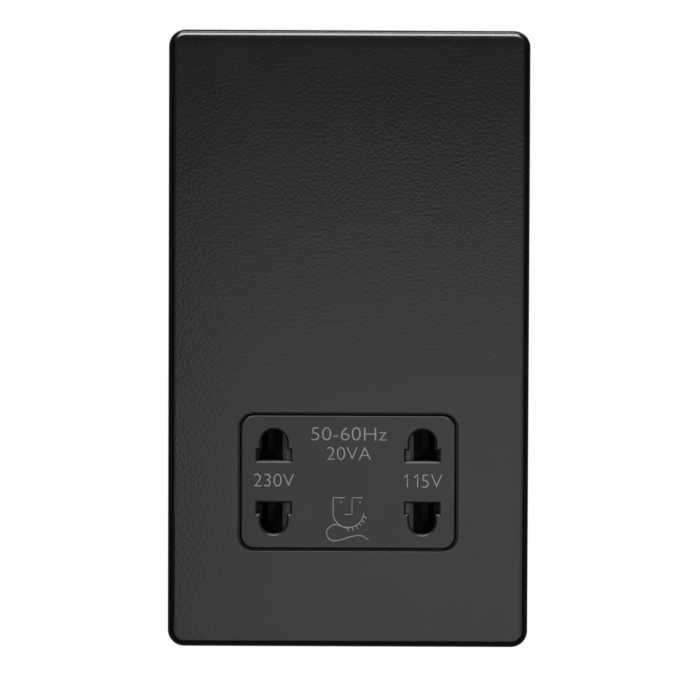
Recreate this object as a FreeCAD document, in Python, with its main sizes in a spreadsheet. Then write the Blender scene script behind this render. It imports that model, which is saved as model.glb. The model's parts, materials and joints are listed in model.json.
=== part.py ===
import FreeCAD, Part
import math
import os
import Sketcher

# Shaver supply unit: flat cover plate, socket insert with its interlock, contacts and transformer.
# Millimetres. +X right, +Z up, the front faces -Y. The origin is the centre of the two fixing slots
# on the plane of the wall.

DIMENSIONS = {
    # Cover plate
    "plate_width": 87.0,
    "plate_height": 148.8,
    "plate_depth": 4.5,
    "plate_sheet": 1.0,
    "plate_corner": 4.0,
    "plate_bend": 1.7,
    "notch_width": 12.0,
    "notch_depth": 1.4,
    "window_side": 4.6,
    "window_end": 4.08,
    # Window in the cover plate and the insert that shows in it
    "window_corner": 3.8,
    "window_drop": 34.4,
    "window_edge": 0.15,
    "insert_gap": 0.7,
    "insert_proud": 0.2,
    "insert_face": 2.0,
    "insert_wall": 1.6,
    "insert_edge": 0.35,
    "flange_side": 1.83,
    "flange_end": 1.4,
    "flange_thickness": 1.5,
    "ear_reach": 3.53,
    "ear_gap": 0.37,
    "ear_width": 10.0,
    "finger_thickness": 1.2,
    "finger_width": 8.0,
    "hook_reach": 0.8,
    "hook_height": 0.9,
    # Pin openings
    "pin_spread": 17.9,
    "slot_flat": 5.05,
    "slot_shoulder": 7.7,
    "slot_top": 12.65,
    "slot_wide": 4.0,
    "slot_arch": 3.17,
    "slot_lead": 0.45,
    # Mounting frame
    "frame_base": 2.0,
    "frame_clearance": 0.3,
    "frame_rib": 1.5,
    "frame_gap": 0.2,
    "fixing_pitch": 120.6,
    "fixing_width": 4.4,
    "fixing_length": 7.0,
    "fixing_pad": 0.6,
    "fixing_margin": 3.0,
    "lug_height": 0.2,
    "lug_length": 12.0,
    "lug_spread": 36.0,
    "boss_radius": 3.0,
    "boss_height": 8.0,
    "post_radius": 2.2,
    # Rear housing
    "case_wall": 1.8,
    "case_corner": 4.0,
    "case_edge": 1.5,
    "case_gap": 0.2,
    "case_seat": 0.5,
    "boss_inset": 0.7,
    "wiring_room": 5.7,
    "lead_room": 3.53,
    "well_radius": 3.0,
    "well_wall": 1.2,
    "well_floor": 3.8,
    "cradle_thickness": 2.0,
    "cradle_inset": 3.0,
    "vent_width": 2.0,
    "vent_length": 24.0,
    "vent_pitch": 5.0,
    "vent_count": 4.0,
    # Interlock slider
    "slider_thickness": 1.4,
    "slider_bevel": 1.0,
    "slider_gap": 0.2,
    "slider_side_gap": 0.33,
    "slider_set_in": 2.1,
    "slider_travel": 3.0,
    "nose_width": 5.4,
    "nose_set_out": 0.1,
    "blade_set_in": 0.4,
    "nose_margin": 0.25,
    "blade_margin": 0.2,
    "nose_ramp": 0.3,
    "nose_end": 4.3,
    "catch_half": 1.5,
    "catch_height": 2.4,
    "catch_end": 4.0,
    # Centring springs
    "spring_radius": 1.6,
    "spring_wire": 0.2,
    "spring_turns": 6.0,
    "spring_wall": 2.7,
    # Contact block and contacts
    "block_clearance": 0.33,
    "block_depth": 17.5,
    "ledge_thickness": 2.0,
    "channel_gap": 0.3,
    "well_margin": 0.2,
    "well_top_margin": 0.35,
    "well_end_wall": 1.5,
    "recess_wall": 1.7,
    "recess_floor": 2.4,
    "contact_sheet": 0.5,
    "contact_width": 5.0,
    "contact_shift": 0.05,
    "mouth_inset": 0.8,
    "waist_inset": 2.2,
    "base_inset": 1.1,
    "contact_front_gap": 2.6,
    "contact_back_gap": 1.7,
    "pinch_share": 0.27,
    "bend_share": 0.6,
    "tail_half": 2.0,
    "tail_length": 2.0,
    "common_gap": 0.2,
    # Terminals
    "terminal_width": 9.0,
    "terminal_depth": 7.4,
    "terminal_length": 10.0,
    "terminal_margin": 2.1,
    "tray_inset": 2.0,
    "entry_length": 3.0,
    "head_margin": 3.0,
    "partition": 2.8,
    "terminal_bore": 2.0,
    "terminal_axis": 3.7,
    "tray_floor": 1.0,
    "tray_depth": 11.0,
    "tray_wall": 1.4,
    "tag_half": 1.5,
    "tag_thickness": 0.8,
    "tag_inset": 1.6,
    "tag_length": 2.7,
    "clamp_screw_radius": 1.5,
    "clamp_head_radius": 2.6,
    "clamp_head_height": 1.6,
    "case_screw_radius": 1.4,
    "case_head_radius": 2.7,
    "case_head_height": 2.2,
    "case_screw_end": 2.5,
    "drive_slot": 0.8,
    "seat_gap": 0.1,
    # Transformer
    "core_width": 54.0,
    "core_leg": 9.0,
    "core_stack": 18.8,
    "core_gap": 4.8,
    "clamp_sheet": 0.8,
    "clamp_inset": 1.4,
    "clamp_lip": 6.0,
    "bobbin_wall": 1.0,
    "bobbin_gap": 0.15,
    "bobbin_overhang": 8.5,
    "coil_front_gap": 0.9,
    "coil_back_gap": 0.5,
    "winding_inset": 1.0,
    "winding_corner": 4.0,
    "tape_thickness": 0.3,
    "cutout_overhang": 4.0,
    "cutout_length": 15.0,
    "cutout_height": 8.0,
    "cutout_gap": 2.5,
    "cutout_corner": 0.8,
    # Overload cut-out, wires and earth strap
    "cutout_depth": 5.3,
    "cutout_tab": 3.0,
    "clip_inset": 1.0,
    "wire_radius": 0.8,
    "wire_bend": 3.0,
    "wire_gap": 0.5,
    "wire_kink": 5.0,
    "lead_inset": 4.0,
    "strap_clear": 2.7,
    "strap_thickness": 0.5,
    "strap_half": 2.5,
    "strap_gap": 4.5,
    "strap_finger": 6.5,
}

doc = FreeCAD.newDocument("ShaverSocket")
sheet = doc.addObject("Spreadsheet::Sheet", "Sizes")
for row, (alias, length) in enumerate(DIMENSIONS.items(), start=1):
    sheet.set(f"A{row}", str(length))
    sheet.setAlias(f"A{row}", alias)
doc.recompute()


class Size:
    """A length worked out from the sheet: its expression and what it comes to."""

    def __init__(self, text, value):
        self.text = text
        self.value = value

    def __add__(self, other):
        return Size(f"({self.text} + {text_of(other)})", self.value + value_of(other))

    def __radd__(self, other):
        return Size(f"({text_of(other)} + {self.text})", value_of(other) + self.value)

    def __sub__(self, other):
        return Size(f"({self.text} - {text_of(other)})", self.value - value_of(other))

    def __rsub__(self, other):
        return Size(f"({text_of(other)} - {self.text})", value_of(other) - self.value)

    def __mul__(self, other):
        return Size(f"({self.text} * {text_of(other)})", self.value * value_of(other))

    def __rmul__(self, other):
        return Size(f"({text_of(other)} * {self.text})", value_of(other) * self.value)

    def __truediv__(self, other):
        return Size(f"({self.text} / {text_of(other)})", self.value / value_of(other))

    def __neg__(self):
        return Size(f"(-1 * {self.text})", -self.value)


def text_of(length):
    return length.text if isinstance(length, Size) else repr(float(length))


def value_of(length):
    return length.value if isinstance(length, Size) else float(length)


def size(alias):
    return Size(f"Sizes.{alias}", float(sheet.get(alias)))


def bind(thing, name, length):
    """Ties one number of an object to the sheet."""
    thing.setExpression(name, text_of(length))


# Sub-parts by label, in the order in which they are written
parts = {}


def new_body(label, rise=0.0, setback=0.0):
    """A body whose own origin lies above and behind the part's origin by these lengths."""
    body = doc.addObject("PartDesign::Body", label)
    body.Label = label
    bind(body, "Placement.Base.y", setback)
    bind(body, "Placement.Base.z", rise)
    parts[label] = body
    return body


def pin(sketch, kind, index, spot, length):
    place = sketch.addConstraint(Sketcher.Constraint(kind, -1, 1, index, spot, value_of(length)))
    sketch.setExpression(f"Constraints[{place}]", text_of(length))


def draw_circle(sketch, across, along, radius):
    centre = FreeCAD.Vector(value_of(across), value_of(along), 0)
    circle = Part.Circle(centre, FreeCAD.Vector(0, 0, 1), value_of(radius))
    index = sketch.addGeometry(circle, False)
    pin(sketch, "DistanceX", index, 3, across)
    pin(sketch, "DistanceY", index, 3, along)
    place = sketch.addConstraint(Sketcher.Constraint("Radius", index, value_of(radius)))
    sketch.setExpression(f"Constraints[{place}]", text_of(radius))


def draw_outline(sketch, corners):
    """Draws a closed outline. A corner is (x, y), or (x, y, radius) where an arc leads on from it.

    A positive radius turns left and a negative one turns right.
    """
    spots = [FreeCAD.Vector(value_of(corner[0]), value_of(corner[1]), 0) for corner in corners]
    edges = []
    for place, corner in enumerate(corners):
        here = spots[place]
        there = spots[(place + 1) % len(corners)]
        if len(corner) == 2:
            edges.append((sketch.addGeometry(Part.LineSegment(here, there), False), 1, 2))
            continue
        radius = value_of(corner[2])
        chord = there - here
        turn = 1 if radius > 0 else -1
        outward = FreeCAD.Vector(chord.y, -chord.x, 0).normalize() * turn
        rise = abs(radius) - math.sqrt(max(radius ** 2 - (chord.Length / 2) ** 2, 0))
        crown = (here + there) * 0.5 + outward * rise
        if turn > 0:
            edges.append((sketch.addGeometry(Part.Arc(here, crown, there), False), 1, 2))
        else:
            edges.append((sketch.addGeometry(Part.Arc(there, crown, here), False), 2, 1))
    for place, corner in enumerate(corners):
        index, start, end = edges[place]
        following = edges[(place + 1) % len(corners)]
        pin(sketch, "DistanceX", index, start, corner[0])
        pin(sketch, "DistanceY", index, start, corner[1])
        sketch.addConstraint(Sketcher.Constraint("Coincident", index, end, following[0], following[1]))
        if len(corner) == 3:
            radius = corner[2] if value_of(corner[2]) > 0 else -1 * corner[2]
            spot = sketch.addConstraint(Sketcher.Constraint("Radius", index, value_of(radius)))
            sketch.setExpression(f"Constraints[{spot}]", text_of(radius))


def rectangle(low_x, high_x, low_y, high_y):
    return [(low_x, low_y), (high_x, low_y), (high_x, high_y), (low_x, high_y)]


def rounded(low_x, high_x, low_y, high_y, radius):
    return [
        (low_x + radius, low_y), (high_x - radius, low_y, radius),
        (high_x, low_y + radius), (high_x, high_y - radius, radius),
        (high_x - radius, high_y), (low_x + radius, high_y, radius),
        (low_x, high_y - radius), (low_x, low_y + radius, radius),
    ]


def centred(half_x, half_y, radius):
    """A rounded rectangle about the sketch's origin."""
    return rounded(-half_x, half_x, -half_y, half_y, radius)


def slab(body, name, plane, low, high, outlines, circles=(), cut=False):
    """Adds, or cuts away, outlines drawn on a plane between two heights along its third axis."""
    sketch = body.newObject("Sketcher::SketchObject", f"{name}_outline")
    support = [item for item in body.Origin.OriginFeatures if item.Role == f"{plane}_Plane"][0]
    sketch.AttachmentSupport = [(support, "")]
    sketch.MapMode = "FlatFace"
    # The XZ plane faces the front, along -Y. A pad follows the plane's normal and a pocket goes against it.
    if plane == "XZ":
        offset = -low if cut else -high
    else:
        offset = high if cut else low
    bind(sketch, "AttachmentOffset.Base.z", offset)
    for outline in outlines:
        draw_outline(sketch, outline)
    for circle in circles:
        draw_circle(sketch, *circle)
    feature = body.newObject("PartDesign::Pocket" if cut else "PartDesign::Pad", name)
    feature.Profile = sketch
    bind(feature, "Length", high - low)
    sketch.Visibility = False
    doc.recompute()
    return feature


def edges_where(feature, wanted):
    """Names the edges whose ends and middle all satisfy a test."""
    names = []
    for place, edge in enumerate(feature.Shape.Edges, start=1):
        middle = edge.valueAt((edge.FirstParameter + edge.LastParameter) / 2)
        spots = [vertex.Point for vertex in edge.Vertexes] + [middle]
        if all(wanted(spot) for spot in spots):
            names.append(f"Edge{place}")
    return names


def ease(body, feature, kind, name, length, wanted):
    """Rounds or bevels the chosen edges of a feature."""
    eased = body.newObject(f"PartDesign::{kind}", name)
    eased.Base = (feature, edges_where(feature, wanted))
    bind(eased, "Radius" if kind == "Fillet" else "Size", length)
    doc.recompute()
    return eased


def near(first, second):
    return abs(first - second) < 0.001


# Levels along Y that several pieces share
front = -size("plate_depth")
sheet_back = front + size("plate_sheet")
insert_front = front - size("insert_proud")
insert_back = insert_front + size("insert_face")
slider_front = insert_back + size("slider_gap")
slider_back = slider_front + size("slider_thickness")
block_front = slider_back + size("slider_gap")
frame_front = -size("frame_base")
rib_front = sheet_back + size("frame_gap")
flange_back = size("flange_thickness")
ledge_back = flange_back + size("ledge_thickness")
well_floor_front = size("boss_height") + size("frame_gap")
well_floor_back = well_floor_front + size("well_floor")
block_back = size("block_depth")
channel_floor = size("nose_end") + size("channel_gap")

# Window and insert, about the window's centre
window_rise = -size("window_drop")
window_x = size("pin_spread") + size("slot_wide") + size("window_side")
window_z = size("slot_top") + size("window_end")
insert_x = window_x - size("insert_gap")
insert_z = window_z - size("insert_gap")
insert_corner = size("window_corner") - size("insert_gap")
inside_x = insert_x - size("insert_wall")
inside_z = insert_z - size("insert_wall")
inside_corner = insert_corner - size("insert_wall")
block_x = inside_x - size("block_clearance")
block_z = inside_z - size("block_clearance")
flange_x = insert_x + size("flange_side")
flange_z = insert_z + size("flange_end")
ear_x = insert_x + size("ear_reach")
finger_x = ear_x - size("finger_thickness")
opening_x = insert_x + size("frame_clearance")
opening_z = insert_z + size("frame_clearance")

# Slider, contacts and wells follow the pin openings
slider_reach = size("pin_spread") - size("slider_set_in")
nose_tip = size("pin_spread") + size("nose_set_out")
nose_blade_tip = size("pin_spread") - size("blade_set_in")
nose_root = nose_tip - size("nose_width")
nose_low = size("slot_flat") + size("nose_margin")
nose_split = size("slot_shoulder") - size("blade_margin")
nose_high = size("slot_top") - size("nose_margin")
well_half = size("slot_wide") + size("well_margin")
well_low = size("slot_flat") - size("nose_margin")
well_high = size("slot_top") + size("well_top_margin")
well_bottom = block_back - size("well_end_wall")
spring_room = size("pin_spread") - well_half - size("spring_wall")
contact_rise = (size("slot_flat") + size("slot_top")) / 2 + size("contact_shift")
contact_front = channel_floor + size("contact_front_gap")
contact_back = block_back - size("contact_back_gap")
tail_end = block_back + size("tail_length")

# Half sizes of the plate and frame
plate_x = size("plate_width") / 2
plate_z = size("plate_height") / 2
frame_x = plate_x - size("plate_sheet") - size("frame_clearance")
frame_z = plate_z - size("plate_sheet") - size("frame_clearance")

# Transformer, about the centre of its core
core_x = size("core_width") / 2
leg = size("core_leg")
core_z = core_x * 5 / 6
stack = size("core_stack") / 2
window_low = -core_z + leg
window_high = core_z - leg
coil_y = stack + size("bobbin_overhang")
core_setback = size("coil_front_gap") + coil_y
core_front = core_setback - stack
core_back = core_setback + stack

# The cut-out lies above the insert's flange and the core above the cut-out
flange_top = window_rise + flange_z
cutout_low = flange_top + size("cutout_gap")
cutout_high = cutout_low + size("cutout_height")
strap_rise = flange_top + size("strap_gap")
core_bottom = cutout_high + size("core_gap")
core_rise = core_bottom + core_z
core_top = core_rise + core_z + size("clamp_sheet")

# The case goes round the insert's flange, the screw columns and the transformer
column = size("well_radius") + size("well_wall")
wall = size("case_wall")
screw_x = flange_x + size("ear_gap") + size("boss_radius")
cavity_x = screw_x + size("boss_radius") + size("case_gap")
cavity_low = window_rise - flange_z - size("ear_gap")
upper_screw_z = core_top + size("case_gap") + column
lower_screw_z = cavity_low + size("boss_radius") + size("boss_inset")
cavity_high = upper_screw_z + size("boss_radius") + size("boss_inset")
shallow_inside = block_back + size("wiring_room")
deep_inside = core_setback + coil_y + size("coil_back_gap")
step_inside = core_bottom - size("clamp_sheet") - size("lead_room")
case_x = cavity_x + wall
case_low = cavity_low - wall
case_high = cavity_high + wall
case_shallow = shallow_inside + wall
case_depth = deep_inside + wall
step_outside = step_inside - wall

# Terminals stand in a tray on the case's shallow back
compartment_half = size("terminal_width") / 2 + size("terminal_margin")
terminal_pitch = compartment_half * 2 + size("partition")
tray_low = case_low + size("tray_inset")
terminal_low = tray_low + size("entry_length")
terminal_high = terminal_low + size("terminal_length")
compartment_high = terminal_high + size("head_margin")
tray_high = compartment_high + size("tray_inset")
tray_floor = case_shallow + size("tray_floor")
terminal_seat = tray_floor + size("seat_gap")
terminal_back = terminal_seat + size("terminal_depth")
bore_y = terminal_seat + size("terminal_axis")
tag_rise = terminal_high - size("tag_inset")
tag_end = shallow_inside - size("tag_length")
cutout_left = terminal_pitch + size("cutout_overhang")
cutout_right = cutout_left - size("cutout_length")
cutout_middle = (cutout_low + cutout_high) / 2

screw_corners = [(side * screw_x, height) for side in (-1, 1) for height in (lower_screw_z, upper_screw_z)]
cradle_x = core_x - size("cradle_inset")
post_x = cradle_x - size("post_radius") / 2
post_spots = [
    (side * post_x, core_rise + end * (core_z - leg / 2)) for side in (-1, 1) for end in (-1, 1)
]


def make_cover_plate():
    """Sheet plate with a bent edge all round, and the window for the insert."""
    body = new_body("cover_plate")
    blank = slab(body, "PlateBlank", "XZ", front, 0.0, [centred(plate_x, plate_z, size("plate_corner"))])
    ease(body, blank, "Fillet", "PlateBend", size("plate_bend"), lambda spot: near(spot.y, front.value))
    inner_corner = size("plate_corner") - size("plate_sheet")
    hollow = slab(
        body, "PlateHollow", "XZ", sheet_back, 0.0,
        [centred(plate_x - size("plate_sheet"), plate_z - size("plate_sheet"), inner_corner)], cut=True,
    )
    inner_bend = size("plate_bend") - size("plate_sheet")
    ease(body, hollow, "Fillet", "PlateInnerBend", inner_bend, lambda spot: near(spot.y, sheet_back.value))
    window = slab(
        body, "PlateWindow", "XZ", front, sheet_back,
        [rounded(-window_x, window_x, window_rise - window_z, window_rise + window_z, size("window_corner"))],
        cut=True,
    )
    ease(
        body, window, "Fillet", "WindowEdge", size("window_edge"),
        lambda spot: near(spot.y, front.value) and abs(spot.x) < window_x.value + size("window_corner").value
        and abs(spot.z - window_rise.value) < window_z.value + size("window_corner").value,
    )
    notch = size("notch_width") / 2
    notch_top = -plate_z + size("plate_sheet") + size("seat_gap")
    slab(
        body, "PryNotch", "XZ", -size("notch_depth"), 0.0,
        [rectangle(-notch, notch, -plate_z - size("plate_sheet"), notch_top)], cut=True,
    )


def fixing_slot(rise, half_width, half_length):
    """An upright slot with round ends, about a point on the part's middle line."""
    return [
        (half_width, rise - half_length + half_width),
        (half_width, rise + half_length - half_width, half_width),
        (0.0, rise + half_length, half_width), (-half_width, rise + half_length - half_width),
        (-half_width, rise - half_length + half_width, half_width), (0.0, rise - half_length, half_width),
    ]


def make_mounting_frame():
    """Moulding that is screwed to the wall box and holds the insert, the case and the cover plate."""
    body = new_body("mounting_frame")
    corner = size("plate_corner") - size("plate_sheet") - size("frame_clearance")
    rib = size("frame_rib")
    slab(body, "FrameBase", "XZ", frame_front, 0.0, [centred(frame_x, frame_z, corner)])
    slab(
        body, "FrameRim", "XZ", rib_front, frame_front,
        [centred(frame_x, frame_z, corner), centred(frame_x - rib, frame_z - rib, corner - rib)],
    )
    ring_x = opening_x + rib
    ring_z = opening_z + rib
    slab(
        body, "WindowRib", "XZ", rib_front, frame_front,
        [rounded(-ring_x, ring_x, window_rise - ring_z, window_rise + ring_z, size("window_corner"))],
    )
    ring_top = window_rise + ring_z
    rib_x = ring_x - rib / 2
    pad_bottom = size("fixing_pitch") / 2 - size("fixing_length") / 2 - size("fixing_margin")
    slab(
        body, "UprightRibs", "XZ", rib_front, frame_front,
        [
            rectangle(side * rib_x - rib / 2, side * rib_x + rib / 2, ring_top - rib, frame_z - rib / 2)
            for side in (-1, 1)
        ],
    )
    slab(
        body, "CrossRib", "XZ", rib_front, frame_front,
        [rectangle(-frame_x + rib / 2, frame_x - rib / 2, pad_bottom - rib, pad_bottom)],
    )
    pad_x = size("fixing_width") / 2 + size("fixing_margin")
    pad_z = size("fixing_length") / 2 + size("fixing_margin")
    pitch = size("fixing_pitch") / 2
    slab(
        body, "FixingPads", "XZ", frame_front - size("fixing_pad"), frame_front,
        [
            rounded(-pad_x, pad_x, end * pitch - pad_z, end * pitch + pad_z, size("fixing_margin"))
            for end in (-1, 1)
        ],
    )
    slab(
        body, "FixingSlots", "XZ", frame_front - size("fixing_pad"), 0.0,
        [fixing_slot(end * pitch, size("fixing_width") / 2, size("fixing_length") / 2) for end in (-1, 1)],
        cut=True,
    )
    slab(
        body, "WindowOpening", "XZ", rib_front, 0.0,
        [rounded(-opening_x, opening_x, window_rise - opening_z, window_rise + opening_z, insert_corner)],
        cut=True,
    )
    lug_half = size("lug_length") / 2
    for name, side in (("LeftLugs", -1), ("RightLugs", 1)):
        low = frame_x - rib / 2 if side > 0 else -frame_x - size("lug_height")
        slab(
            body, name, "XZ", frame_front - size("fixing_pad"), frame_front + size("fixing_pad"),
            [
                rectangle(
                    low, low + rib / 2 + size("lug_height"),
                    end * size("lug_spread") - lug_half, end * size("lug_spread") + lug_half,
                )
                for end in (-1, 1)
            ],
        )
    gap = size("seat_gap")
    pilot_radius = size("case_screw_radius") + gap / 2
    inner_corner = size("case_corner") - wall - gap
    slab(
        body, "CaseSeat", "XZ", -size("case_seat"), 0.0,
        [
            rounded(-case_x - gap, case_x + gap, case_low - gap, case_high + gap, size("case_corner") + gap),
            rounded(gap - cavity_x, cavity_x - gap, cavity_low + gap, cavity_high - gap, inner_corner),
        ],
        cut=True,
    )
    slab(
        body, "CaseBosses", "XZ", 0.0, size("boss_height"), [],
        [(across, along, size("boss_radius")) for across, along in screw_corners],
    )
    slab(
        body, "BossPilots", "XZ", size("case_screw_end") / 2, size("boss_height"), [],
        [(across, along, pilot_radius) for across, along in screw_corners],
        cut=True,
    )
    slab(
        body, "CorePosts", "XZ", 0.0, core_front - gap, [],
        [(across, along, size("post_radius")) for across, along in post_spots],
    )
    clip = gap * 3
    clip_low = cutout_low + size("clip_inset")
    clip_high = cutout_high - size("clip_inset")
    slab(
        body, "CutoutClips", "XZ", 0.0, size("cutout_depth") / 2,
        [
            rectangle(-cutout_left - clip - rib, -cutout_left - clip, clip_low, clip_high),
            rectangle(clip - cutout_right, rib - cutout_right, clip_low, clip_high),
        ],
    )
    strap_x = size("strap_half") + clip
    strap_top = strap_rise + size("strap_thickness") + clip
    slab(
        body, "StrapSlot", "XZ", frame_front, 0.0,
        [rectangle(-strap_x, strap_x, strap_rise - clip, strap_top)], cut=True,
    )


def pin_opening(side, end):
    """A wide slot for flat blades that runs on into an arch for round pins."""
    centre = side * size("pin_spread")
    wide = size("slot_wide")
    arch = size("slot_arch")
    spring_line = end * (size("slot_top") - arch)
    low = end * size("slot_flat")
    shoulder = end * size("slot_shoulder")
    return [
        (centre - wide, low), (centre + wide, low), (centre + wide, shoulder), (centre + arch, shoulder),
        (centre + arch, spring_line, end * arch), (centre, end * size("slot_top"), end * arch),
        (centre - arch, spring_line), (centre - arch, shoulder), (centre - wide, shoulder),
    ]


def make_socket_insert():
    """Moulding with the four pin openings, held behind the frame by its flange."""
    body = new_body("socket_insert", rise=window_rise)
    outside = centred(insert_x, insert_z, insert_corner)
    face = slab(body, "InsertFace", "XZ", insert_front, insert_back, [outside])
    ease(
        body, face, "Fillet", "InsertEdge", size("insert_edge"),
        lambda spot: near(spot.y, insert_front.value),
    )
    inside = centred(inside_x, inside_z, inside_corner)
    slab(
        body, "InsertWalls", "XZ", insert_back, 0.0,
        [outside, inside],
    )
    slab(
        body, "InsertFlange", "XZ", 0.0, flange_back,
        [centred(flange_x, flange_z, insert_corner), inside],
    )
    half_ear = size("ear_width") / 2
    half_finger = size("finger_width") / 2
    for name, side in (("Left", -1), ("Right", 1)):
        inner, outer = (insert_x, ear_x) if side > 0 else (-ear_x, -insert_x)
        slab(body, f"{name}Ear", "XZ", 0.0, flange_back, [rectangle(inner, outer, -half_ear, half_ear)])
        inner, outer = (finger_x, ear_x) if side > 0 else (-ear_x, -finger_x)
        hook_back = ledge_back + size("frame_gap") + size("hook_height")
        slab(
            body, f"{name}Finger", "XZ", flange_back, hook_back,
            [rectangle(inner, outer, -half_finger, half_finger)],
        )
        tip = finger_x - size("hook_reach")
        inner, outer = (tip, ear_x) if side > 0 else (-ear_x, -tip)
        slab(
            body, f"{name}Hook", "XZ", ledge_back + size("frame_gap"), hook_back,
            [rectangle(inner, outer, -half_finger, half_finger)],
        )
    openings = slab(
        body, "PinOpenings", "XZ", insert_front, insert_back,
        [pin_opening(side, end) for side in (-1, 1) for end in (-1, 1)], cut=True,
    )
    ease(
        body, openings, "Chamfer", "PinLeadIn", size("slot_lead"),
        lambda spot: near(spot.y, insert_front.value) and abs(spot.x) < inside_x.value
        and abs(spot.z) < inside_z.value,
    )


def nose_outline(side, tip):
    """Plan of one nose: a ramp that a pin pushes aside, and the land behind it."""
    ramp_end = size("nose_ramp") + tip - slider_reach
    corners = [
        (nose_root, slider_back), (slider_reach, slider_back), (slider_reach, size("nose_ramp")),
        (tip, ramp_end), (tip, size("nose_end")), (nose_root, size("nose_end")),
    ]
    return [(side * across, along) for across, along in corners]


def make_interlock_slider():
    """Plate that a plug pushes sideways, so that its noses close the other outlet."""
    body = new_body("interlock_slider", rise=window_rise)
    reach = slider_reach
    bevel = size("slider_bevel")
    half_z = inside_z - size("slider_side_gap")
    slab(
        body, "SliderPlate", "XY", -half_z, half_z,
        [
            [
                (-reach, slider_back), (-reach, slider_front + bevel), (bevel - reach, slider_front),
                (reach - bevel, slider_front), (reach, slider_front + bevel), (reach, slider_back),
            ]
        ],
    )
    zones = (
        ("Blade", nose_low, nose_split, nose_blade_tip),
        ("Pin", nose_split, nose_high, nose_tip),
    )
    for name, low, high, tip in zones:
        outlines = [nose_outline(side, tip) for side in (-1, 1)]
        slab(body, f"Upper{name}Noses", "XY", low, high, outlines)
        slab(body, f"Lower{name}Noses", "XY", -high, -low, outlines)
    catch_x = size("catch_half")
    catch_z = size("catch_height")
    slab(
        body, "SpringCatch", "XZ", slider_back, size("catch_end"),
        [rectangle(-catch_x, catch_x, -catch_z, catch_z)],
    )


def make_contact_block():
    """Moulding behind the insert that holds the contacts and guides the slider's noses."""
    body = new_body("contact_block", rise=window_rise)
    corner = inside_corner
    ledge_x = finger_x - size("frame_gap")
    ledge_z = flange_z - size("block_clearance")
    slab(body, "BlockBody", "XZ", block_front, block_back, [centred(block_x, block_z, corner)])
    slab(body, "BlockLedge", "XZ", flange_back, ledge_back, [centred(ledge_x, ledge_z, corner)])
    gap = size("channel_gap")
    room = nose_tip + size("slider_travel") + gap * 2
    low = nose_low - gap
    high = nose_high + gap
    slab(
        body, "NoseChannels", "XZ", block_front, channel_floor,
        [rectangle(-room, room, low, high), rectangle(-room, room, -high, -low)], cut=True,
    )
    pocket_z = size("catch_height") + gap
    slab(
        body, "SpringPocket", "XZ", block_front, size("catch_end") + gap,
        [rectangle(-spring_room, spring_room, -pocket_z, pocket_z)], cut=True,
    )
    wells = []
    tails = []
    for side in (-1, 1):
        for end in (-1, 1):
            centre = side * size("pin_spread")
            near_z, far_z = (well_low, well_high) if end > 0 else (-well_high, -well_low)
            wells.append(rectangle(centre - well_half, centre + well_half, near_z, far_z))
            tail_x = size("tail_half") + size("seat_gap")
            tail_z = size("contact_sheet") / 2 + size("seat_gap")
            rise = end * contact_rise
            tails.append(rectangle(centre - tail_x, centre + tail_x, rise - tail_z, rise + tail_z))
    slab(body, "ContactWells", "XZ", channel_floor, well_bottom, wells, cut=True)
    slab(body, "TailSlots", "XZ", well_bottom, block_back, tails, cut=True)
    recess_x = size("pin_spread") - well_half - size("recess_wall")
    recess_z = block_z - size("recess_wall")
    web = size("insert_wall") / 2
    slab(
        body, "RearRecess", "XZ", channel_floor + size("recess_floor"), block_back,
        [rectangle(-recess_x, -web, -recess_z, recess_z), rectangle(web, recess_x, -recess_z, recess_z)],
        cut=True,
    )


def contact_outline(centre):
    """Plan of a sprung contact: two legs that pinch a pin, joined at the back."""
    gauge = size("contact_sheet")
    length = contact_back - contact_front
    base = size("slot_wide") - size("base_inset")
    inner = [
        (size("slot_wide") - size("mouth_inset"), contact_front),
        (size("slot_wide") - size("waist_inset"), contact_front + length * size("pinch_share")),
        (base, contact_front + length * size("bend_share")), (base, contact_back - gauge),
    ]
    outer = [(across + gauge, along) for across, along in inner[:3]]
    outer.append((base + gauge, contact_back))
    right_side = inner[::-1] + outer
    left_side = [(-1 * across, along) for across, along in outer[::-1] + inner]
    return [(centre + across, along) for across, along in right_side + left_side]


def make_contact(label, side):
    """A contact of one upper opening, with its own tail through the block."""
    body = new_body(label, rise=window_rise)
    centre = side * size("pin_spread")
    rise = contact_rise
    half = size("contact_width") / 2
    slab(body, f"{label}_legs", "XY", rise - half, rise + half, [contact_outline(centre)])
    tail = size("tail_half")
    gauge = size("contact_sheet") / 2
    slab(
        body, f"{label}_tail", "XZ", contact_back - gauge, tail_end,
        [rectangle(centre - tail, centre + tail, rise - gauge, rise + gauge)],
    )


def make_common_contact():
    """The two lower contacts, in one piece with the bar that joins them behind the block."""
    body = new_body("common_contact", rise=window_rise)
    rise = -contact_rise
    gauge = size("contact_sheet") / 2
    tail = size("tail_half")
    bar_front = block_back + size("common_gap")
    bar_x = size("pin_spread") + tail
    slab(
        body, "CommonBar", "XZ", bar_front, bar_front + size("contact_sheet"),
        [rectangle(-bar_x, bar_x, rise - tail, rise + tail)],
    )
    slab(
        body, "CommonTails", "XZ", contact_back - gauge, bar_front + gauge,
        [
            rectangle(centre - tail, centre + tail, rise - gauge, rise + gauge)
            for centre in (-size("pin_spread"), size("pin_spread"))
        ],
    )
    half = size("contact_width") / 2
    outlines = [contact_outline(side * size("pin_spread")) for side in (-1, 1)]
    slab(body, "CommonLegs", "XY", rise - half, rise + half, outlines)


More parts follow.
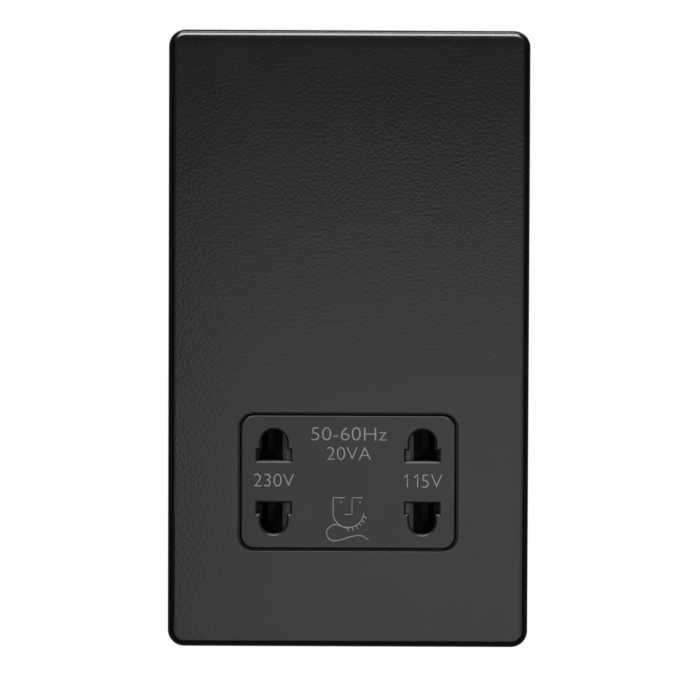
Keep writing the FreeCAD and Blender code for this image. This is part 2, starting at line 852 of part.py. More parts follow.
def make_rear_housing():
    """Case behind the frame: shallow behind the socket, deep round the transformer."""
    body = new_body("rear_housing")
    corner = size("case_corner")
    inner = corner - wall
    edge = size("case_edge")
    rim = -size("case_seat")
    shallow = slab(
        body, "ShallowBlank", "XZ", rim, case_shallow,
        [rounded(-case_x, case_x, case_low, case_high, corner)],
    )
    ease(body, shallow, "Fillet", "ShallowEdge", edge, lambda spot: near(spot.y, case_shallow.value))
    deep = slab(
        body, "DeepBlank", "XZ", rim, case_depth,
        [rounded(-case_x, case_x, step_outside, case_high, corner)],
    )
    ease(body, deep, "Fillet", "DeepEdge", edge, lambda spot: near(spot.y, case_depth.value))
    tray_back = case_shallow + size("tray_depth")
    half = compartment_half
    tray_x = terminal_pitch + half + size("tray_wall")
    tray = rectangle(-tray_x, tray_x, tray_low, tray_high)
    slab(body, "TrayBlank", "XZ", shallow_inside, tray_back, [tray])
    slab(
        body, "ShallowCavity", "XZ", rim, shallow_inside,
        [rounded(-cavity_x, cavity_x, cavity_low, cavity_high, inner)], cut=True,
    )
    slab(
        body, "DeepCavity", "XZ", rim, deep_inside,
        [rounded(-cavity_x, cavity_x, step_inside, cavity_high, inner)],
        cut=True,
    )
    centres = [place * terminal_pitch for place in (-1, 0, 1)]
    slab(
        body, "Compartments", "XZ", tray_floor, tray_back,
        [rectangle(centre - half, centre + half, case_low, compartment_high) for centre in centres], cut=True,
    )
    slot_x = size("tag_half") + size("seat_gap") * 2
    slot_z = size("tag_thickness") / 2 + size("seat_gap") * 2
    slab(
        body, "TagSlots", "XZ", shallow_inside, tray_floor,
        [
            rectangle(centre - slot_x, centre + slot_x, tag_rise - slot_z, tag_rise + slot_z)
            for centre in centres
        ],
        cut=True,
    )
    for name, height, back in (("Upper", upper_screw_z, case_depth), ("Lower", lower_screw_z, case_shallow)):
        spots = [(side * screw_x, height) for side in (-1, 1)]
        slab(
            body, f"{name}Columns", "XZ", well_floor_front, back - wall / 2, [],
            [(across, along, column) for across, along in spots],
        )
        slab(
            body, f"{name}Wells", "XZ", well_floor_back, back, [],
            [(across, along, size("well_radius")) for across, along in spots], cut=True,
        )
        slab(
            body, f"{name}ScrewHoles", "XZ", well_floor_front, well_floor_back, [],
            [(across, along, size("case_screw_radius") + size("seat_gap") * 3) for across, along in spots],
            cut=True,
        )
    rib = size("cradle_thickness") / 2
    low = core_bottom + leg / 2
    high = core_top - leg / 2
    slab(
        body, "CradleRibs", "XZ", core_back + size("seat_gap"), deep_inside + wall / 2,
        [rectangle(side * cradle_x - rib, side * cradle_x + rib, low, high) for side in (-1, 1)],
    )
    vents = []
    for place in range(int(size("vent_count").value)):
        near_y = core_front + place * size("vent_pitch")
        vent_z = size("vent_length") / 2
        vents.append(rectangle(near_y, near_y + size("vent_width"), core_rise - vent_z, core_rise + vent_z))
    slab(body, "LeftVents", "YZ", -case_x, -cavity_x, vents, cut=True)
    slab(body, "RightVents", "YZ", cavity_x, case_x, vents, cut=True)


def make_terminal(label, place):
    """Brass pillar with the conductor's bore from below, the clamping screw's hole and a tag."""
    body = new_body(label)
    centre = place * terminal_pitch
    half = size("terminal_width") / 2
    slab(
        body, f"{label}_pillar", "XZ", terminal_seat, terminal_back,
        [rectangle(centre - half, centre + half, terminal_low, terminal_high)],
    )
    slab(
        body, f"{label}_bore", "XY", terminal_low, terminal_high, [],
        [(centre, bore_y, size("terminal_bore"))],
        cut=True,
    )
    middle = (terminal_low + terminal_high) / 2
    slab(
        body, f"{label}_screw_hole", "XZ", bore_y, terminal_back, [],
        [(centre, middle, size("clamp_screw_radius") + size("seat_gap"))], cut=True,
    )
    tag_x = size("tag_half")
    tag_z = size("tag_thickness") / 2
    slab(
        body, f"{label}_tag", "XZ", tag_end, terminal_seat + size("tag_thickness"),
        [rectangle(centre - tag_x, centre + tag_x, tag_rise - tag_z, tag_rise + tag_z)],
    )


def make_screw(name, across, rise, tip, seat, radius, head_radius, head_height):
    """A screw along Y whose head lies behind its seat, with a driving slot."""
    shank = doc.addObject("Part::Cylinder", f"{name}_shank")
    head = doc.addObject("Part::Cylinder", f"{name}_head")
    shapes = ((shank, tip, seat, radius), (head, seat, seat + head_height, head_radius))
    for cylinder, low, high, own_radius in shapes:
        bind(cylinder, "Radius", own_radius)
        bind(cylinder, "Height", high - low)
        cylinder.Placement.Rotation = FreeCAD.Rotation(FreeCAD.Vector(1, 0, 0), -90)
        bind(cylinder, "Placement.Base.x", across)
        bind(cylinder, "Placement.Base.y", low)
        bind(cylinder, "Placement.Base.z", rise)
    whole = doc.addObject("Part::MultiFuse", f"{name}_whole")
    whole.Shapes = [shank, head]
    slot = doc.addObject("Part::Box", f"{name}_slot")
    bind(slot, "Length", size("drive_slot"))
    bind(slot, "Width", head_height)
    bind(slot, "Height", head_radius * 3)
    bind(slot, "Placement.Base.x", across - size("drive_slot") / 2)
    bind(slot, "Placement.Base.y", seat + head_height / 2)
    bind(slot, "Placement.Base.z", rise - head_radius * 1.5)
    screw = doc.addObject("Part::Cut", name)
    screw.Base = whole
    screw.Tool = slot
    return screw


def group(label, members):
    """Like fasteners as one sub-part of separate solids."""
    compound = doc.addObject("Part::Compound", label)
    compound.Label = label
    compound.Links = members
    parts[label] = compound


def make_screws():
    seat = well_floor_back + size("seat_gap")
    group("housing_screws", [
        make_screw(
            f"HousingScrew{place}", across, along, size("case_screw_end"), seat,
            size("case_screw_radius"), size("case_head_radius"), size("case_head_height"),
        )
        for place, (across, along) in enumerate(screw_corners)
    ])
    bore_wall = bore_y + size("terminal_bore") + size("seat_gap")
    middle = (terminal_low + terminal_high) / 2
    group("terminal_screws", [
        make_screw(
            f"TerminalScrew{place + 2}", place * terminal_pitch, middle, bore_wall,
            terminal_back + size("seat_gap"),
            size("clamp_screw_radius"), size("clamp_head_radius"), size("clamp_head_height"),
        )
        for place in (-1, 0, 1)
    ])


def make_transformer():
    """Split-bobbin transformer: core, clamp, bobbin, windings and tape."""
    place = {"rise": core_rise, "setback": core_setback}
    e_core = new_body("e_core", **place)
    limb = core_x - leg
    slab(e_core, "CoreE", "XZ", -stack, stack, [[
        (-core_x, -core_z), (core_x, -core_z), (core_x, window_high), (limb, window_high),
        (limb, window_low), (leg, window_low), (leg, window_high), (-leg, window_high),
        (-leg, window_low), (-limb, window_low), (-limb, window_high), (-core_x, window_high),
    ]])
    i_core = new_body("i_core", **place)
    slab(i_core, "CoreI", "XZ", -stack, stack, [rectangle(-core_x, core_x, window_high, core_z)])
    clamp = new_body("core_clamp", **place)
    gauge = size("clamp_sheet")
    lip = core_x - size("clamp_lip")
    band = stack - size("clamp_inset")
    slab(clamp, "ClampBand", "XZ", -band, band, [[
        (-lip, -core_z - gauge), (-lip, -core_z), (-core_x, -core_z), (-core_x, core_z),
        (core_x, core_z), (core_x, -core_z), (lip, -core_z), (lip, -core_z - gauge),
        (core_x + gauge, -core_z - gauge), (core_x + gauge, core_z + gauge),
        (-core_x - gauge, core_z + gauge), (-core_x - gauge, -core_z - gauge),
    ]])
    bobbin = new_body("bobbin", **place)
    skin = size("bobbin_wall")
    inner_x = leg + size("bobbin_gap")
    inner_y = stack + size("bobbin_gap")
    tube_x = inner_x + skin
    tube_y = inner_y + skin
    gap = size("seat_gap")
    bottom = window_low + gap
    top = window_high - gap
    middle = (bottom + top - skin) / 2
    bore = rectangle(-inner_x, inner_x, -inner_y, inner_y)
    slab(bobbin, "BobbinTube", "XY", bottom, top, [centred(tube_x, tube_y, skin), bore])
    flange = centred(limb - gap * 2, coil_y, skin)
    for name, level in (("BobbinFoot", bottom), ("BobbinDivider", middle), ("BobbinHead", top - skin)):
        slab(bobbin, name, "XY", level, level + skin, [flange, bore])
    coil_x = limb - gap - size("winding_inset")
    coil_depth = coil_y - size("winding_inset")
    inner = centred(tube_x + gap, tube_y + gap, skin)
    outer = centred(coil_x, coil_depth, size("winding_corner"))
    primary = new_body("primary_winding", **place)
    slab(primary, "PrimaryCoil", "XY", bottom + skin + gap, middle - gap, [outer, inner])
    secondary = new_body("secondary_winding", **place)
    slab(secondary, "SecondaryCoil", "XY", middle + skin + gap, top - skin - gap, [outer, inner])
    bands = []
    for name, low, high in (
        ("PrimaryTape", bottom + skin * 1.5, middle - skin / 2),
        ("SecondaryTape", middle + skin * 1.5, top - skin * 1.5),
    ):
        bands.append(make_tape(name, coil_x + gap, coil_depth + gap, core_rise + low, core_rise + high))
    group("winding_tape", bands)


def make_tape(name, half_x, half_y, low, high):
    """One turn of tape round a winding."""
    pieces = []
    for layer, extra in (("outer", size("tape_thickness")), ("inner", 0.0)):
        box = doc.addObject("Part::Box", f"{name}_{layer}")
        bind(box, "Length", (half_x + extra) * 2)
        bind(box, "Width", (half_y + extra) * 2)
        bind(box, "Height", high - low)
        bind(box, "Placement.Base.x", -half_x - extra)
        bind(box, "Placement.Base.y", core_setback - half_y - extra)
        bind(box, "Placement.Base.z", low)
        doc.recompute()
        rounding = doc.addObject("Part::Fillet", f"{name}_{layer}_round")
        rounding.Base = box
        radius = (size("winding_corner") + size("seat_gap") + extra).value
        rounding.Edges = [
            (index, radius, radius) for index, edge in enumerate(box.Shape.Edges, start=1)
            if near(abs(edge.tangentAt(edge.FirstParameter).z), 1)
        ]
        pieces.append(rounding)
    band = doc.addObject("Part::Cut", name)
    band.Base, band.Tool = pieces
    return band


def make_overload_cutout():
    """Self-resetting overload protector, clipped to the back of the frame."""
    body = new_body("overload_cutout")
    depth = size("cutout_depth")
    slab(
        body, "CutoutCase", "XZ", 0.0, depth,
        [rounded(-cutout_left, -cutout_right, cutout_low, cutout_high, size("cutout_corner"))],
    )
    tab_x = size("tag_half")
    tab_z = size("tag_thickness") / 2
    slab(
        body, "CutoutTab", "XZ", depth, depth + size("cutout_tab"),
        [
            rectangle(
                -terminal_pitch - tab_x, tab_x - terminal_pitch, cutout_middle - tab_z, cutout_middle + tab_z,
            )
        ],
    )


def make_earth_strap():
    """Bent strip from the earth tag, through the frame, to a finger behind the cover plate."""
    body = new_body("earth_strap")
    gauge = size("strap_thickness")
    back = shallow_inside - size("tag_length") / 2
    foot = tag_rise + size("tag_thickness") / 2 + size("seat_gap")
    level = strap_rise
    finger_front = sheet_back + size("seat_gap")
    slab(body, "Strap", "YZ", -size("strap_half"), size("strap_half"), [[
        (back, foot), (back, level + gauge), (finger_front + gauge, level + gauge),
        (finger_front + gauge, level + size("strap_finger")), (finger_front, level + size("strap_finger")),
        (finger_front, level), (back - gauge, level), (back - gauge, foot),
    ]])


def make_spring(label, side):
    """Coil spring along X between the slider's catch and the end of its pocket, of six-sided wire."""
    wire_radius = size("spring_wire").value
    coil_radius = size("spring_radius").value
    start = size("catch_half").value + size("seat_gap").value + wire_radius
    end = spring_room.value - size("seat_gap").value - wire_radius
    length = end - start
    helix = Part.makeHelix(length / size("spring_turns").value, length, coil_radius)
    corners = []
    for place in range(7):
        angle = math.radians(60 * place)
        corners.append(FreeCAD.Vector(
            coil_radius + wire_radius * math.cos(angle), 0, wire_radius * math.sin(angle)))
    coil = helix.makePipeShell([Part.makePolygon(corners)], True, True)
    spring = doc.addObject("Part::Feature", label)
    spring.Label = label
    spring.Shape = coil
    depth = (block_front + size("catch_end") + size("channel_gap")).value / 2
    spring.Placement = FreeCAD.Placement(
        FreeCAD.Vector(side * start, depth, window_rise.value),
        FreeCAD.Rotation(FreeCAD.Vector(0, 1, 0), 90 * side),
    )
    parts[label] = spring


def make_wire(label, route):
    """A wire along straight runs joined by tangent arcs."""
    radius = size("wire_radius").value
    spots = [FreeCAD.Vector(*[value_of(length) for length in spot]) for spot in route]
    edges = []
    last = spots[0]
    for before, corner, after in zip(spots, spots[1:], spots[2:]):
        arriving = (corner - before).normalize()
        leaving = (after - corner).normalize()
        turn = arriving.getAngle(leaving)
        shorter = min((corner - before).Length, (after - corner).Length)
        bend = min(size("wire_bend").value, 0.45 * shorter / math.tan(turn / 2))
        inset = bend * math.tan(turn / 2)
        start = corner - arriving * inset
        end = corner + leaving * inset
        inward = (leaving - arriving).normalize()
        crown = corner + inward * (bend / math.cos(turn / 2) - bend)
        edges.append(Part.LineSegment(last, start).toShape())
        edges.append(Part.Arc(start, crown, end).toShape())
        last = end
    edges.append(Part.LineSegment(last, spots[-1]).toShape())
    section = Part.Wire([Part.makeCircle(radius, spots[0], spots[1] - spots[0])])
    wire = doc.addObject("Part::Feature", label)
    wire.Label = label
    wire.Shape = Part.Wire(edges).makePipeShell([section], True, False)
    parts[label] = wire


def make_wires():
    """Mains wires beside the socket and secondary wires under the core."""
    thickness = size("wire_radius")
    gap = size("seat_gap")
    clear = size("wire_gap")
    tag_top = tag_rise + size("tag_thickness") / 2 + gap
    mains_y = shallow_inside - thickness - clear
    tab_back = size("cutout_depth") + size("cutout_tab") + gap
    foot = core_rise + window_low
    make_wire("wire_live", [
        (-terminal_pitch, mains_y, tag_top), (-terminal_pitch, mains_y, cutout_middle),
        (-terminal_pitch, tab_back, cutout_middle),
    ])
    primary_x = -cutout_right - size("wire_bend")
    primary_y = size("cutout_depth") / 2
    front_y = core_front / 2
    kink = size("wire_kink")
    make_wire("wire_primary", [
        (primary_x, primary_y, cutout_high + gap), (primary_x, primary_y, cutout_high + kink),
        (primary_x - clear, front_y, foot - kink), (primary_x - clear, front_y, foot),
    ])
    make_wire("wire_neutral", [
        (terminal_pitch, mains_y, tag_top), (terminal_pitch, mains_y, cutout_middle),
        (terminal_pitch, front_y, cutout_middle), (terminal_pitch, front_y, foot),
    ])
    lead_y = (core_setback + coil_y + core_back) / 2
    lead_x = core_x - leg - size("lead_inset")
    under = core_bottom - size("clamp_sheet") - size("lead_room") / 2
    contact_y = block_back + thickness + size("common_gap")
    upper_tail = window_rise + contact_rise + size("contact_sheet") / 2 + gap
    for label, side in (("wire_230", -1), ("wire_115", 1)):
        spread = side * size("pin_spread")
        make_wire(label, [
            (side * lead_x, lead_y, foot), (side * lead_x, lead_y, under), (spread, contact_y, under),
            (spread, contact_y, upper_tail),
        ])
    bar_top = window_rise - contact_rise + size("tail_half") + gap
    common_x = size("strap_half") + thickness + size("strap_clear")
    make_wire("wire_common", [
        (common_x, lead_y, foot), (common_x, lead_y, under), (common_x, contact_y, under),
        (common_x, contact_y, bar_top),
    ])


make_cover_plate()
make_mounting_frame()
make_socket_insert()
make_interlock_slider()
make_contact_block()
make_contact("contact_230_upper", -1)
make_contact("contact_115_upper", 1)
make_common_contact()
make_rear_housing()
for place, label in ((-1, "terminal_live"), (0, "terminal_earth"), (1, "terminal_neutral")):
    make_terminal(label, place)
make_screws()
make_transformer()
make_overload_cutout()
make_earth_strap()
make_spring("centring_spring_left", -1)
make_spring("centring_spring_right", 1)
make_wires()
doc.recompute()

failed = [item.Name for item in doc.Objects if "Invalid" in item.State or "Error" in item.State]
failed += [label for label, part in parts.items() if part.Shape.isNull() or not part.Shape.isValid()]
if failed:
    raise SystemExit("failed: " + ", ".join(failed))

os.makedirs("parts", exist_ok=True)
for label, part in parts.items():
    part.Shape.exportStep(f"parts/{label}.step")
    print(label, len(part.Shape.Solids), round(part.Shape.Volume, 1))
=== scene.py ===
import json
import math

import bpy
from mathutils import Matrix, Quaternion, Vector


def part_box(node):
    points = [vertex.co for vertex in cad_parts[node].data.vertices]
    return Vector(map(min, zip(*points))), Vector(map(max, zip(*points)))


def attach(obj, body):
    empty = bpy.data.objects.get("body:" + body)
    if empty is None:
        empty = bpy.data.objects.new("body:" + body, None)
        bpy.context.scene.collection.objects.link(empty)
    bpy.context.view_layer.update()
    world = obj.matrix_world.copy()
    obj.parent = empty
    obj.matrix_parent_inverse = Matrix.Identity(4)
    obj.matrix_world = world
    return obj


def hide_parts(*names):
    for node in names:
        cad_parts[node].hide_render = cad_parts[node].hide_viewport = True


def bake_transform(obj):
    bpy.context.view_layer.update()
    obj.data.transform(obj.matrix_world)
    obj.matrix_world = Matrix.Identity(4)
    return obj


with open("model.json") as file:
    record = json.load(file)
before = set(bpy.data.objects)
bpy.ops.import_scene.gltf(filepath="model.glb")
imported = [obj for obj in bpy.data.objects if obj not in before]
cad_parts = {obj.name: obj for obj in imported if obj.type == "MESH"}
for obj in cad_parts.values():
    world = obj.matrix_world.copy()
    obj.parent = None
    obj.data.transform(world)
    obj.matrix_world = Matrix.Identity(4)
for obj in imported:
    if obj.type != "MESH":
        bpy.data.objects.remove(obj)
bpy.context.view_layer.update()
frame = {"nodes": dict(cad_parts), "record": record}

# Dresses the shaver socket for its photograph: finishes, lettering, smooth springs, light and camera.
# Metres, in the frame of the model: +X right, +Z up, the front faces -Y.

MM = 0.001

# Where things are, read from the model
plate_low, plate_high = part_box("cover_plate")
insert_low, insert_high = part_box("socket_insert")
slider_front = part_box("interlock_slider")[0].y
window_rise = (insert_low.z + insert_high.z) / 2
face_depth = insert_low.y

# Zones of the plate's finish, in millimetres: where each one starts and where it is full.
# The bend counts from the face backwards, the others count from the plate's outer edges inwards.
PLATE_BEND = (0.003, 0.03)
# The flank, foot and head zones hold painted shade: the plate's shine is lowered there
PLATE_FLANK = (2.2, 1.15)
PLATE_FOOT = (1.4, 0.6)
PLATE_HEAD = (5.5, 1.7)

# The window's rounded edge gets painted shade below the window's middle, which takes its highlight off, in
# full after this many millimetres
WINDOW_FADE = 5

# Depths behind the insert's face and the slider's front at which painted shade darkens them, in
# millimetres
INSERT_INSIDE = (0.7, 1.1)
SLIDER_INSIDE = (1.0, 1.6)

# The insert's upper rim, where painted shade dims its highlight, counted down from its face's edge, and
# how far the flange stands over that edge
INSERT_RIM = (0.5, 0.25)
FLANGE_STEP = 1.4

# Pitches inside the transformer, in millimetres
LAMINATION_PITCH = 0.5
TURN_PITCH = 0.35

# Photograph: the camera stands a little above the plate and is turned by a fraction of a degree
CAMERA_DISTANCE = 0.85
CAMERA_RISE = math.radians(2.1)
CAMERA_ROLL = math.radians(0.235)
CAMERA_LENS = 181.57
CAMERA_SHIFT = (0.0019, -0.0150)
SENSOR_WIDTH = 36.0

# Printed marks on the insert, in millimetres
INK_THICKNESS = 0.02
STROKE_WIDTH = 0.20
DIGIT_WIDTH = 0.32
EYE_WIDTH = 0.34
STUBBLE_LENGTH = 0.95
LETTER_HEIGHT = 3.15
PIN_SPREAD = 17.9
FIGURE_RISE = 0.45

# Letters before they are scaled: half their thickness, and how much thinner their strokes are
LETTER_EXTRUSION = 0.001
LETTER_THINNING = -0.018

# Springs: wire radius in millimetres, turns, points a turn, and the share of the length of a closed turn
SPRING_WIRE = 0.2
SPRING_TURNS = 6
SPRING_SAMPLES = 24
SPRING_CLOSED = 0.09

# Strips of the low lamp, dimmer towards its top: lowest and highest edge, brightness
LOW_LAMP_STRIPS = (
    (-0.170, -0.020, 5.15), (-0.020, 0.020, 4.25), (0.020, 0.052, 2.6), (0.052, 0.076, 0.4),
)
LOW_LAMP_ACROSS = 0.057
LOW_LAMP_DEPTH = -0.32
LOW_LAMP_WIDTH = 0.25

# White surroundings: the light that the world gives, and the floor's place, size, own light and its share
SOFT_WORLD = 0.40
FLOOR_DROP = 0.30
FLOOR_REACH = 12.0
FLOOR_GREY = 0.8
FLOOR_GLOW = 1.13
FLOOR_GLOW_SHARE = 0.85


# Shader nodes

def new_finish(name):
    """A material with its node tree and its surface shader."""
    material = bpy.data.materials.new(name)
    material.use_nodes = True
    return material, material.node_tree, material.node_tree.nodes["Principled BSDF"]


def place(tree, stretch=(1, 1, 1)):
    """Object coordinates in metres, stretched along each axis."""
    spot = tree.nodes.new("ShaderNodeTexCoord")
    mapping = tree.nodes.new("ShaderNodeMapping")
    mapping.inputs["Scale"].default_value = stretch
    tree.links.new(spot.outputs["Object"], mapping.inputs["Vector"])
    return mapping.outputs["Vector"]


def noise(tree, size, stretch=(1, 1, 1), detail=3.0):
    """Noise whose lumps are about this size in millimetres."""
    texture = tree.nodes.new("ShaderNodeTexNoise")
    texture.inputs["Scale"].default_value = 1 / (size * MM)
    texture.inputs["Detail"].default_value = detail
    texture.inputs["Roughness"].default_value = 0.55
    tree.links.new(place(tree, stretch), texture.inputs["Vector"])
    return texture.outputs["Fac"]


def stripes(tree, axis, pitch, distortion=0.0):
    """Bands across an axis, one per pitch in millimetres."""
    texture = tree.nodes.new("ShaderNodeTexWave")
    texture.wave_type = "BANDS"
    texture.bands_direction = axis
    texture.inputs["Scale"].default_value = math.pi / 10 / (pitch * MM)
    texture.inputs["Distortion"].default_value = distortion
    tree.links.new(place(tree), texture.inputs["Vector"])
    return texture.outputs["Fac"]


def ramp(tree, factor, *stops):
    """Colours, or grey levels, by a factor from 0 to 1."""
    node = tree.nodes.new("ShaderNodeValToRGB")
    elements = node.color_ramp.elements
    while len(elements) < len(stops):
        elements.new(1.0)
    for element, (spot, shade) in zip(elements, stops):
        element.position = spot
        element.color = (*shade, 1) if isinstance(shade, tuple) else (shade, shade, shade, 1)
    tree.links.new(factor, node.inputs["Fac"])
    return node.outputs["Color"]


def grade(tree, shader, entry, factor, *stops):
    """Lets an entry of the shader run through stops by a factor."""
    tree.links.new(ramp(tree, factor, *stops), shader.inputs[entry])


def bump(tree, shader, *layers):
    """Stacks layers of (height, depth in millimetres, strength) on the surface."""
    normal = None
    for height, depth, strength in layers:
        node = tree.nodes.new("ShaderNodeBump")
        node.inputs["Distance"].default_value = depth * MM
        if isinstance(strength, float):
            node.inputs["Strength"].default_value = strength
        else:
            tree.links.new(strength, node.inputs["Strength"])
        tree.links.new(height, node.inputs["Height"])
        if normal is not None:
            tree.links.new(normal, node.inputs["Normal"])
        normal = node.outputs["Normal"]
    tree.links.new(normal, shader.inputs["Normal"])


def shades(colour, spread):
    """A colour made darker and lighter by a share."""
    dark = tuple(part * (1 - spread) for part in colour)
    light = tuple(min(part * (1 + spread), 1) for part in colour)
    return dark, light


def combine(tree, operation, first, second):
    """Two values combined by a mathematical operation."""
    node = tree.nodes.new("ShaderNodeMath")
    node.operation = operation
    tree.links.new(first, node.inputs[0])
    tree.links.new(second, node.inputs[1])
    return node.outputs[0]


def passage(tree, axis, start, end, both_ways=False):
    """0 up to a place on an axis and 1 from a second place on, or the same both ways from the middle."""
    spot = tree.nodes.new("ShaderNodeSeparateXYZ")
    tree.links.new(place(tree), spot.inputs["Vector"])
    reading = spot.outputs[axis]
    if both_ways:
        size = tree.nodes.new("ShaderNodeMath")
        size.operation = "ABSOLUTE"
        tree.links.new(reading, size.inputs[0])
        reading = size.outputs[0]
    share = tree.nodes.new("ShaderNodeMapRange")
    share.inputs["From Min"].default_value = start
    share.inputs["From Max"].default_value = end
    tree.links.new(reading, share.inputs["Value"])
    return share.outputs["Result"]


def zone(tree, axis, origin, reach, way=1, both_ways=False):
    """A passage between two distances in millimetres from a place, along the axis or against it."""
    start, end = (origin + way * distance * MM for distance in reach)
    return passage(tree, axis, start, end, both_ways)


def dim_shine(tree, shader, share, outside, inside):
    """Takes the specular level from its outside to its inside value, by a share, which paints shade where
    the share is high.
    """
    shader.inputs["Specular IOR Level"].default_value = outside
    grade(tree, shader, "Specular IOR Level", share, (0.0, outside), (1.0, inside))


def dim_inside(tree, shader, share, colours, speculars):
    """Takes the colour and the shine from their outside to their inside values, by a share: painted shade
    inside.
    """
    grade(tree, shader, "Base Color", share, (0.0, colours[0]), (1.0, colours[1]))
    dim_shine(tree, shader, share, *speculars)


# Finishes

def powder_coat(name):
    """Black textured powder coat on the sheet plate, smoother towards its foot and round its bent edge.
    Its shine is lowered by place as painted shade.
    """
    material, tree, shader = new_finish(name)

    # Where the texture fades
    bend = zone(tree, "Y", plate_low.y, PLATE_BEND)
    rise = passage(tree, "Z", plate_low.z, plate_high.z / 3)
    smooth = combine(tree, "MAXIMUM", bend, ramp(tree, rise, (0.0, 0.65), (1.0, 0.0)))
    wrinkles = noise(tree, 0.9, stretch=(1.4, 1, 1.2), detail=0.5)
    grain = noise(tree, 0.25, detail=2.0)
    bump(
        tree, shader,
        (wrinkles, 0.12, ramp(tree, smooth, (0.0, 0.46), (1.0, 0.04))),
        (grain, 0.02, ramp(tree, smooth, (0.0, 0.8), (1.0, 0.1))),
    )

    # Painted shade: the coat's shine is lowered at the sides, at the foot, in a band under the upper bend
    # and on the window's rounded lower edge, which darkens them and takes the highlight off that edge
    flank = zone(tree, "X", plate_high.x, PLATE_FLANK, way=-1, both_ways=True)
    foot = zone(tree, "Z", plate_low.z, PLATE_FOOT)
    head = zone(tree, "Z", plate_high.z, PLATE_HEAD, way=-1)
    head_shade = ramp(tree, head, (0.0, 0.0), (0.5, 0.12), (0.8, 0.45), (1.0, 0.0))
    low = passage(tree, "Z", window_rise, window_rise - WINDOW_FADE * MM)
    window_foot = combine(tree, "MULTIPLY", bend, low)
    painted_shade = combine(tree, "MAXIMUM", flank, foot)
    for share in (head_shade, window_foot):
        painted_shade = combine(tree, "MAXIMUM", painted_shade, share)
    dim_shine(tree, shader, painted_shade, 0.11, 0.03)

    patches = noise(tree, 14, detail=2.0)
    dark, light = shades((0.0010, 0.0010, 0.0011), 0.15)
    grade(tree, shader, "Base Color", patches, (0.3, dark), (0.7, light))
    grade(tree, shader, "Roughness", patches, (0.2, 0.19), (0.8, 0.23))
    return material


def moulded_surface(name, roughness, grain, flow=8.0):
    """Moulded plastic with spark-eroded grain and faint flow marks, before it has a colour and a shine."""
    material, tree, shader = new_finish(name)
    texture = noise(tree, grain)
    marks = noise(tree, flow, stretch=(1, 1, 0.4))
    grade(tree, shader, "Roughness", marks, (0.2, roughness - 0.05), (0.8, roughness + 0.05))
    bump(tree, shader, (texture, 0.02, 0.35))
    return material, tree, shader, marks


def moulding(name, colour, roughness, specular=0.4, grain=0.3, flow=8.0):
    """Moulded plastic of one colour."""
    material, tree, shader, marks = moulded_surface(name, roughness, grain, flow)
    dark, light = shades(colour, 0.10)
    grade(tree, shader, "Base Color", marks, (0.3, dark), (0.7, light))
    shader.inputs["Specular IOR Level"].default_value = specular
    return material


def insert_moulding(name):
    """Satin black face. Painted shade dims the highlight on its upper rim and darkens its openings' walls
    and its flange.
    """
    material, tree, shader, _ = moulded_surface(name, 0.34, grain=0.4)
    # Painted shade: darker and less shiny deeper behind the face, and less shiny on the upper rim
    inside = zone(tree, "Y", insert_low.y, INSERT_INSIDE)
    rim = zone(tree, "Z", insert_high.z - FLANGE_STEP * MM, INSERT_RIM, way=-1)
    rim_shade = ramp(tree, rim, (0.0, 0.0), (1.0, 0.7))
    share = combine(tree, "MAXIMUM", inside, rim_shade)
    dim_inside(tree, shader, share, colours=(0.002, 0.0005), speculars=(0.116, 0.02))
    return material


def slider_moulding(name):
    """Satin grey front plate. Its noses lie deeper in the unit and are darkened by painted shade."""
    material, tree, shader, _ = moulded_surface(name, 0.55, grain=0.4)
    # Painted shade: darker and less shiny deeper behind the slider's front
    share = zone(tree, "Y", slider_front, SLIDER_INSIDE)
    dim_inside(tree, shader, share, colours=(0.036, 0.003), speculars=(0.11, 0.05))
    return material


def metal(name, colour, roughness, scratch_axis=(1, 6, 1), scratch=0.3):
    """Bare metal with fine working marks and a slight tarnish."""
    material, tree, shader = new_finish(name)
    marks = noise(tree, scratch, stretch=scratch_axis, detail=4.0)
    tarnish = noise(tree, 3, detail=4.0)
    dark, light = shades(colour, 0.16)
    grade(tree, shader, "Base Color", tarnish, (0.35, dark), (0.65, light))
    grade(tree, shader, "Roughness", marks, (0.3, roughness - 0.08), (0.7, roughness + 0.10))
    shader.inputs["Metallic"].default_value = 1.0
    bump(tree, shader, (marks, 0.01, 0.25))
    return material


def laminations(name):
    """Varnished edges of a stack of steel laminations."""
    material, tree, shader = new_finish(name)
    sheets = stripes(tree, "Y", LAMINATION_PITCH)
    varnish = noise(tree, 2, detail=4.0)
    gap, edge = (0.035, 0.032, 0.030), (0.15, 0.145, 0.14)
    grade(tree, shader, "Base Color", sheets, (0.15, gap), (0.45, edge))
    grade(tree, shader, "Roughness", varnish, (0.3, 0.34), (0.7, 0.52))
    shader.inputs["Metallic"].default_value = 0.75
    bump(tree, shader, (sheets, 0.05, 0.6), (varnish, 0.02, 0.3))
    return material


def windings(name):
    """Enamelled copper turns lying side by side, with painted shade in the grooves between them."""
    material, tree, shader = new_finish(name)
    turns = stripes(tree, "Z", TURN_PITCH, distortion=0.15)
    enamel = noise(tree, 1.5)
    # The grooves between the turns are coloured darker as painted shade
    groove, crest = (0.10, 0.028, 0.010), (0.52, 0.20, 0.075)
    grade(tree, shader, "Base Color", turns, (0.1, groove), (0.6, crest))
    grade(tree, shader, "Roughness", enamel, (0.3, 0.22), (0.7, 0.36))
    shader.inputs["Metallic"].default_value = 0.85
    shader.inputs["Coat Weight"].default_value = 0.4
    bump(tree, shader, (turns, 0.08, 0.8))
    return material


